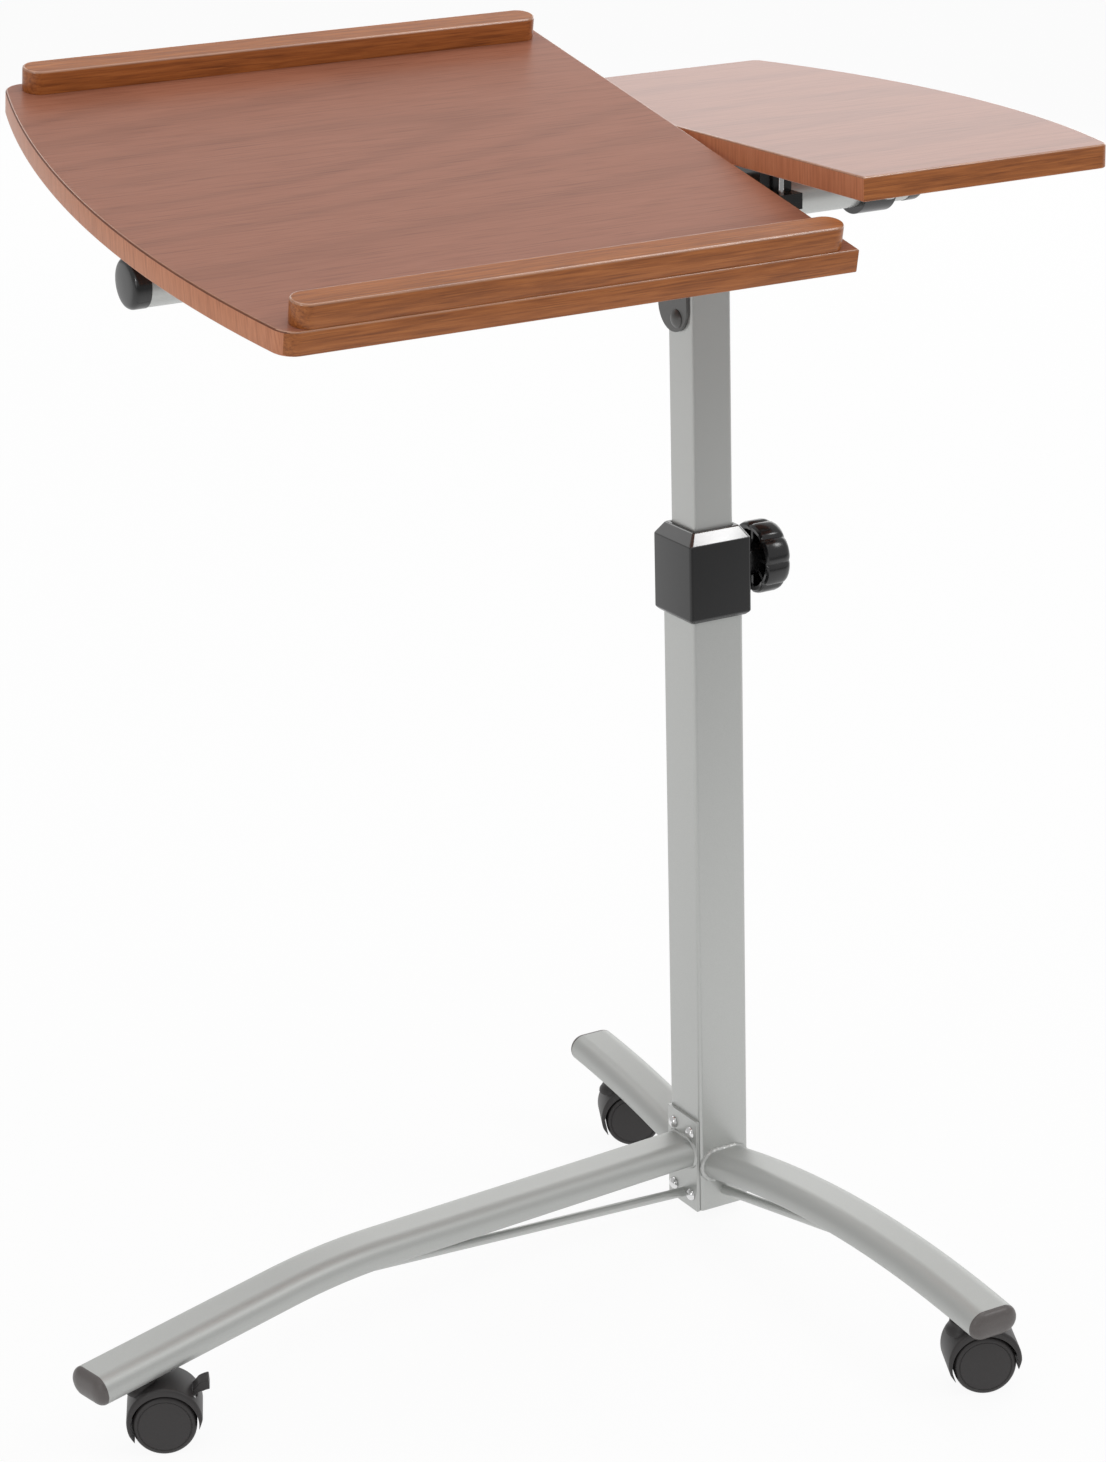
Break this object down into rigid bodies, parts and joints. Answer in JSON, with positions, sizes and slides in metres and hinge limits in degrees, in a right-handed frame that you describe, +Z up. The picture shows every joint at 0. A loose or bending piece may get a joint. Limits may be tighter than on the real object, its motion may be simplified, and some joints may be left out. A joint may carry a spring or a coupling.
{
  "type": "rolling laptop desk",
  "caption": "Rolling laptop desk: tilting laptop board with ledges and a level side board on a height-adjustable square column over an arched caster base.",
  "frame": {"origin": "on the floor, under the axis of the square column", "axes": "+X from the column towards the side board, -Y towards the user, +Z up; the laptop board lies on the -X side"},
  "size_m": [0.7213, 0.5459, 0.811],
  "materials": {
    "board_top": "cherry laminate, semi-gloss, fine grain",
    "edge_wood": "orange-brown wrapped wood, semi-gloss",
    "silver_coat": "silver-grey satin powder coat",
    "black_gloss": "black, semi-gloss",
    "grey_cap": "dark grey, satin",
    "caster_black": "charcoal, satin",
    "nylon": "black nylon",
    "chrome": "bright plated",
    "zinc": "zinc plated"
  },
  "bodies": {
    "base": {"outer_column": "silver_coat", "foot_plug": "grey_cap", "front_arm": "silver_coat", "back_arm": "silver_coat", "side_leg": "silver_coat", "leg_plate": "silver_coat", "plate_bolts": "chrome", "plate_nuts": "zinc", "front_tie_rod": "silver_coat", "leg_tie_rod": "silver_coat", "front_end_cap": "grey_cap", "back_end_cap": "grey_cap", "leg_end_cap": "grey_cap", "collar": "black_gloss", "rivet_nut": "zinc", "caster_stems": "zinc"},
    "height_lock": {"height_knob": "black_gloss", "height_stud": "zinc"},
    "mast": {"inner_column": "silver_coat", "guide_shoe": "nylon", "head_bracket": "silver_coat", "head_bolt": "chrome", "head_nut": "zinc", "cross_tube": "silver_coat", "left_tube_cap": "black_gloss", "right_tube_cap": "black_gloss", "side_board": "board_top", "side_clamp_blocks": "black_gloss", "side_clamp_straps": "black_gloss", "side_clamp_screws": "chrome"},
    "panel": {"laptop_board": "board_top", "front_ledge": "edge_wood", "back_ledge": "edge_wood", "ledge_screws": "zinc", "tilt_clamp_blocks": "black_gloss", "tilt_clamp_straps": "black_gloss", "tilt_clamp_screws": "zinc"},
    "left_tilt_lock": {"left_tilt_knob": "black_gloss", "left_tilt_stud": "zinc"},
    "right_tilt_lock": {"right_tilt_knob": "black_gloss", "right_tilt_stud": "zinc"},
    "front_caster": {"front_hood": "caster_black"},
    "front_wheel": {"front_wheels": "caster_black", "front_axle": "zinc"},
    "back_caster": {"back_hood": "caster_black"},
    "back_wheel": {"back_wheels": "caster_black", "back_axle": "zinc"},
    "leg_caster": {"leg_hood": "caster_black", "leg_brake_pin": "zinc"},
    "leg_wheel": {"leg_wheels": "caster_black", "leg_axle": "zinc"},
    "leg_brake": {"leg_brake_lever": "caster_black"}
  },
  "joints": [
    {"name": "height_slide", "type": "slide", "parent": "base", "child": "mast", "axis": [0, 0, 1], "range_m": [-0.1, 0.18]},
    {"name": "height_knob_turn", "type": "hinge", "parent": "base", "child": "height_lock", "pos_m": [0.0365, 0, 0.466], "axis": [1, 0, 0], "continuous": true},
    {"name": "board_tilt", "type": "hinge", "parent": "mast", "child": "panel", "pos_m": [-0.2, 0, 0.707], "axis": [1, 0, 0], "range_deg": [-12, 23]},
    {"name": "left_tilt_knob_turn", "type": "hinge", "parent": "panel", "child": "left_tilt_lock", "pos_m": [-0.255, -0.02335, 0.69181], "axis": [0, -0.2079, 0.9781], "continuous": true},
    {"name": "right_tilt_knob_turn", "type": "hinge", "parent": "panel", "child": "right_tilt_lock", "pos_m": [-0.062, -0.02335, 0.69181], "axis": [0, -0.2079, 0.9781], "continuous": true},
    {"name": "front_swivel", "type": "hinge", "parent": "base", "child": "front_caster", "pos_m": [0, -0.301, 0.04], "axis": [0, 0, 1], "continuous": true},
    {"name": "front_wheel_spin", "type": "hinge", "parent": "front_caster", "child": "front_wheel", "pos_m": [0.01088, -0.30607, 0.02], "axis": [0.4226, 0.9063, 0], "continuous": true},
    {"name": "back_swivel", "type": "hinge", "parent": "base", "child": "back_caster", "pos_m": [0, 0.129, 0.04], "axis": [0, 0, 1], "continuous": true},
    {"name": "back_wheel_spin", "type": "hinge", "parent": "back_caster", "child": "back_wheel", "pos_m": [0.01088, 0.12393, 0.02], "axis": [0.4226, 0.9063, 0], "continuous": true},
    {"name": "leg_swivel", "type": "hinge", "parent": "base", "child": "leg_caster", "pos_m": [-0.46885, -0.09091, 0.04], "axis": [0, 0, 1], "continuous": true},
    {"name": "leg_wheel_spin", "type": "hinge", "parent": "leg_caster", "child": "leg_wheel", "pos_m": [-0.45797, -0.09598, 0.02], "axis": [0.4226, 0.9063, 0], "continuous": true},
    {"name": "brake_lever_tilt", "type": "hinge", "parent": "leg_caster", "child": "leg_brake", "pos_m": [-0.44117, -0.10382, 0.03556], "axis": [0.4226, 0.9063, 0], "range_deg": [0, 15]}
  ]
}
